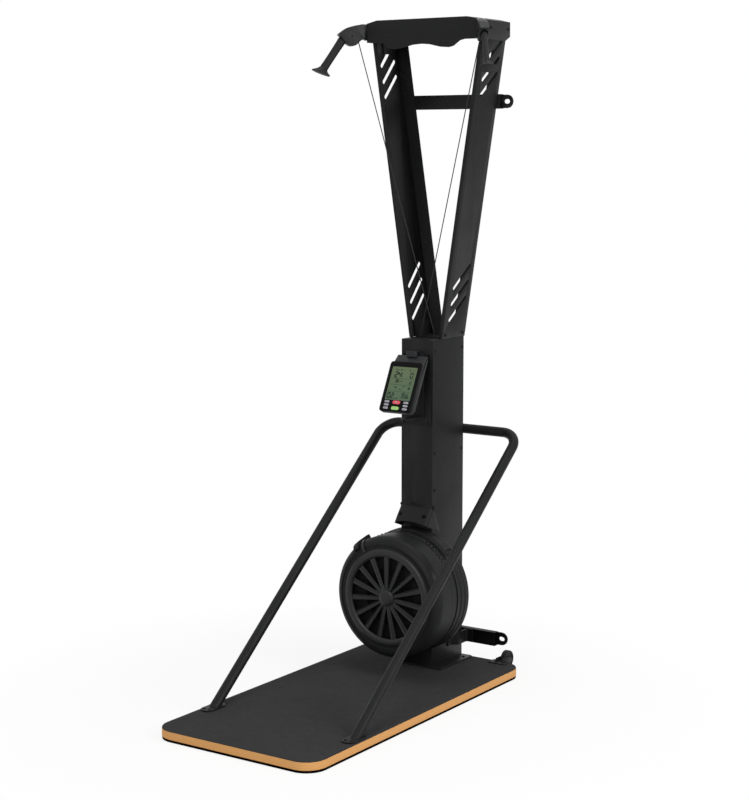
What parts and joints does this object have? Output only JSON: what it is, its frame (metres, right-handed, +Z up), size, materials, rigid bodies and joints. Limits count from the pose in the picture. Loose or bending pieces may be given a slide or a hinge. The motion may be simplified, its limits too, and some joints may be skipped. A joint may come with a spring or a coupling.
{
  "type": "standing ski trainer",
  "caption": "Standing ski trainer: board, sheet-steel column with splayed arms, two pull handles on cords, round air fan, tilting console and floor hoop.",
  "frame": {"origin": "middle of the platform's underside, on the floor", "axes": "+Z up, -Y towards the user in front of the fan, +Y towards the wall, +X to the right as the user faces the fan"},
  "size_m": [0.6966, 1.277, 2.1917],
  "materials": {
    "dark_steel": "satin powder coat",
    "black_plastic": "fine grain",
    "hood_plastic": "semi gloss",
    "rubber": "matt",
    "plywood": "clear lacquer",
    "mat": "fine speckle",
    "bright_steel": "ground",
    "zinc": "zinc plated",
    "cord": "braided",
    "screen": "display",
    "key_white": "satin",
    "key_red": "satin",
    "key_green": "satin"
  },
  "bodies": {
    "frame": {"column_base_plate": "dark_steel", "column_frame": "dark_steel", "column_back_cover": "dark_steel", "column_top_cap": "dark_steel", "left_arm": "dark_steel", "right_arm": "dark_steel", "arm_tie": "dark_steel", "head_bracket": "dark_steel", "upper_wall_bar": "dark_steel", "lower_wall_bar": "dark_steel", "support_hoop": "dark_steel", "left_hoop_foot": "dark_steel", "right_hoop_foot": "dark_steel", "hoop_saddle": "dark_steel", "console_mount_plate": "dark_steel", "left_wheel_bracket": "dark_steel", "right_wheel_bracket": "dark_steel", "fan_front_housing": "black_plastic", "fan_vent_band": "black_plastic", "fan_rear_housing": "black_plastic", "fan_grille": "black_plastic", "collar_cover": "black_plastic", "console_bracket": "black_plastic", "left_hood": "hood_plastic", "right_hood": "hood_plastic", "platform_base_pad": "rubber", "platform_board": "plywood", "platform_top_mat": "mat", "front_bearing": "bright_steel", "rear_bearing": "bright_steel", "left_pulley_axle": "bright_steel", "right_pulley_axle": "bright_steel", "left_wall_strap": "zinc", "right_wall_strap": "zinc", "fan_mesh": "zinc", "rear_bearing_bridge": "zinc", "left_cord": "cord", "right_cord": "cord"},
    "fan_rotor": {"fan_wheel": "black_plastic", "fan_axle": "bright_steel"},
    "damper": {"damper_lever": "black_plastic"},
    "console": {"console_bezel": "black_plastic", "console_screen": "screen", "console_case": "black_plastic"},
    "left_pull": {"left_handle": "rubber"},
    "left_pulley": {"left_hood_pulley": "black_plastic"},
    "left_drum": {"left_cord_drum": "black_plastic"},
    "left_transport_wheel": {"left_wheel": "rubber"},
    "right_pull": {"right_handle": "rubber"},
    "right_pulley": {"right_hood_pulley": "black_plastic"},
    "right_drum": {"right_cord_drum": "black_plastic"},
    "right_transport_wheel": {"right_wheel": "rubber"},
    "left_upper_key_cap": {"left_upper_key": "key_white"},
    "left_middle_key_cap": {"left_middle_key": "key_white"},
    "left_lower_key_cap": {"left_lower_key": "key_white"},
    "right_upper_key_cap": {"right_upper_key": "key_white"},
    "right_middle_key_cap": {"right_middle_key": "key_white"},
    "right_lower_key_cap": {"right_lower_key": "key_white"},
    "stop_key_cap": {"stop_key": "key_red"},
    "start_key_cap": {"start_key": "key_green"}
  },
  "joints": [
    {"name": "fan_spin", "type": "hinge", "parent": "frame", "child": "fan_rotor", "pos_m": [0, 0.27, 0.307], "axis": [0, -1, 0], "continuous": true},
    {"name": "damper_turn", "type": "hinge", "parent": "frame", "child": "damper", "pos_m": [0, 0.303, 0.307], "axis": [0, 1, 0], "range_deg": [0, 70]},
    {"name": "console_tilt", "type": "hinge", "parent": "frame", "child": "console", "pos_m": [0, 0.35481, 1.00385], "axis": [1, 0, 0], "range_deg": [-6, 15]},
    {"name": "left_handle_pull", "type": "slide", "parent": "frame", "child": "left_pull", "axis": [-0.3622, -0.4317, -0.8261], "range_m": [0, 1.1], "stiffness_N_per_m": 20, "springref_m": -1},
    {"name": "left_pulley_spin", "type": "hinge", "parent": "frame", "child": "left_pulley", "pos_m": [-0.25228, 0.38229, 2.142], "axis": [0.766, -0.6428, 0], "continuous": true},
    {"name": "left_drum_spin", "type": "hinge", "parent": "frame", "child": "left_drum", "pos_m": [0, 0.4352, 0.307], "axis": [0, -1, 0], "continuous": true},
    {"name": "left_wheel_spin", "type": "hinge", "parent": "frame", "child": "left_transport_wheel", "pos_m": [-0.216, 0.6395, 0.036], "axis": [1, 0, 0], "continuous": true},
    {"name": "right_handle_pull", "type": "slide", "parent": "frame", "child": "right_pull", "axis": [0.3622, -0.4317, -0.8261], "range_m": [0, 1.1], "stiffness_N_per_m": 20, "springref_m": -1},
    {"name": "right_pulley_spin", "type": "hinge", "parent": "frame", "child": "right_pulley", "pos_m": [0.25228, 0.38229, 2.142], "axis": [0.766, 0.6428, 0], "continuous": true},
    {"name": "right_drum_spin", "type": "hinge", "parent": "frame", "child": "right_drum", "pos_m": [0, 0.4692, 0.307], "axis": [0, -1, 0], "continuous": true},
    {"name": "right_wheel_spin", "type": "hinge", "parent": "frame", "child": "right_transport_wheel", "pos_m": [0.216, 0.6395, 0.036], "axis": [1, 0, 0], "continuous": true},
    {"name": "left_upper_key_press", "type": "slide", "parent": "console", "child": "left_upper_key_cap", "axis": [0, 0.9003, -0.4352], "range_m": [0, 0.001], "stiffness_N_per_m": 400, "springref_m": -0.001},
    {"name": "left_middle_key_press", "type": "slide", "parent": "console", "child": "left_middle_key_cap", "axis": [0, 0.9003, -0.4352], "range_m": [0, 0.001], "stiffness_N_per_m": 400, "springref_m": -0.001},
    {"name": "left_lower_key_press", "type": "slide", "parent": "console", "child": "left_lower_key_cap", "axis": [0, 0.9003, -0.4352], "range_m": [0, 0.001], "stiffness_N_per_m": 400, "springref_m": -0.001},
    {"name": "right_upper_key_press", "type": "slide", "parent": "console", "child": "right_upper_key_cap", "axis": [0, 0.9003, -0.4352], "range_m": [0, 0.001], "stiffness_N_per_m": 400, "springref_m": -0.001},
    {"name": "right_middle_key_press", "type": "slide", "parent": "console", "child": "right_middle_key_cap", "axis": [0, 0.9003, -0.4352], "range_m": [0, 0.001], "stiffness_N_per_m": 400, "springref_m": -0.001},
    {"name": "right_lower_key_press", "type": "slide", "parent": "console", "child": "right_lower_key_cap", "axis": [0, 0.9003, -0.4352], "range_m": [0, 0.001], "stiffness_N_per_m": 400, "springref_m": -0.001},
    {"name": "stop_key_press", "type": "slide", "parent": "console", "child": "stop_key_cap", "axis": [0, 0.9003, -0.4352], "range_m": [0, 0.001], "stiffness_N_per_m": 400, "springref_m": -0.001},
    {"name": "start_key_press", "type": "slide", "parent": "console", "child": "start_key_cap", "axis": [0, 0.9003, -0.4352], "range_m": [0, 0.001], "stiffness_N_per_m": 400, "springref_m": -0.001}
  ],
  "couplings": [
    {"joint": "left_pulley_spin", "follows": "left_handle_pull", "rad_per_m": 54.054},
    {"joint": "left_drum_spin", "follows": "left_handle_pull", "rad_per_m": 27.778},
    {"joint": "right_pulley_spin", "follows": "right_handle_pull", "rad_per_m": 54.054},
    {"joint": "right_drum_spin", "follows": "right_handle_pull", "rad_per_m": 27.778}
  ]
}
